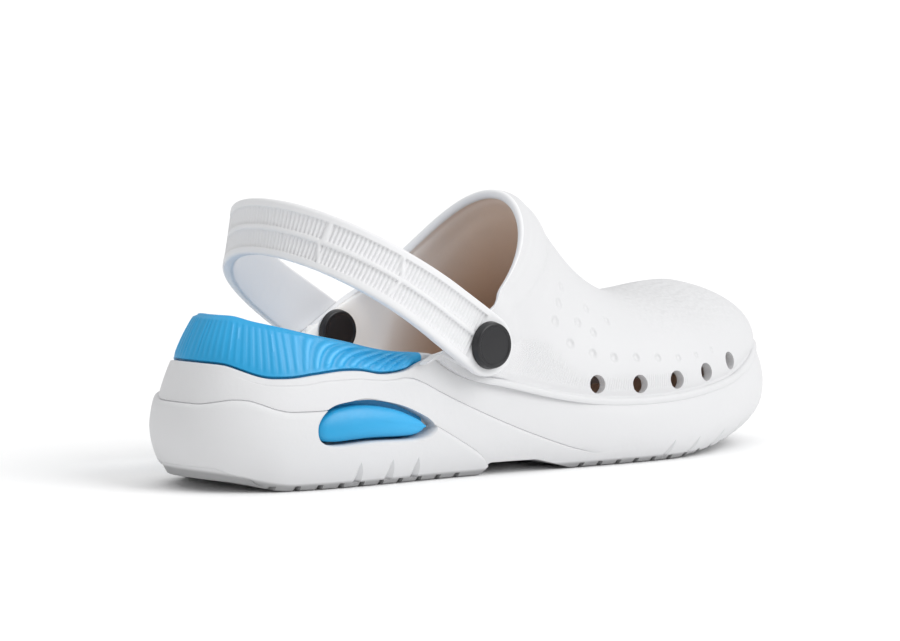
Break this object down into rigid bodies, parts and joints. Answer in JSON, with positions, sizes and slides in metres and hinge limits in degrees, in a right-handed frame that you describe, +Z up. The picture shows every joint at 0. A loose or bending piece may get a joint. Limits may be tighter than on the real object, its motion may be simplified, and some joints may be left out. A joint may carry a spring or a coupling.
{
  "type": "clog",
  "caption": "Right-foot foam clog with a hollow vented upper, a thick treaded sole, a raised heel insert and a back strap held by rivets.",
  "frame": {"origin": "middle of the length and width at the floor, under the shoe", "axes": "+X from heel to toe, +Y to the wearer's left (the inner side of this right shoe), +Z up"},
  "size_m": [0.27, 0.1025, 0.0969],
  "materials": {
    "sole_foam": "white moulded foam, matte with a fine grain",
    "upper_foam": "white moulded foam, matte with a fine grain",
    "insert_foam": "blue soft foam, satin",
    "strap_foam": "white moulded foam, matte",
    "rivet_plastic": "black plastic, satin"
  },
  "bodies": {
    "root": {"sole": "sole_foam", "upper": "upper_foam", "insole": "insert_foam", "strap": "strap_foam", "rivet_button_lateral": "rivet_plastic", "rivet_button_medial": "rivet_plastic", "rivet_cap_lateral": "rivet_plastic", "rivet_cap_medial": "rivet_plastic"}
  },
  "joints": []
}
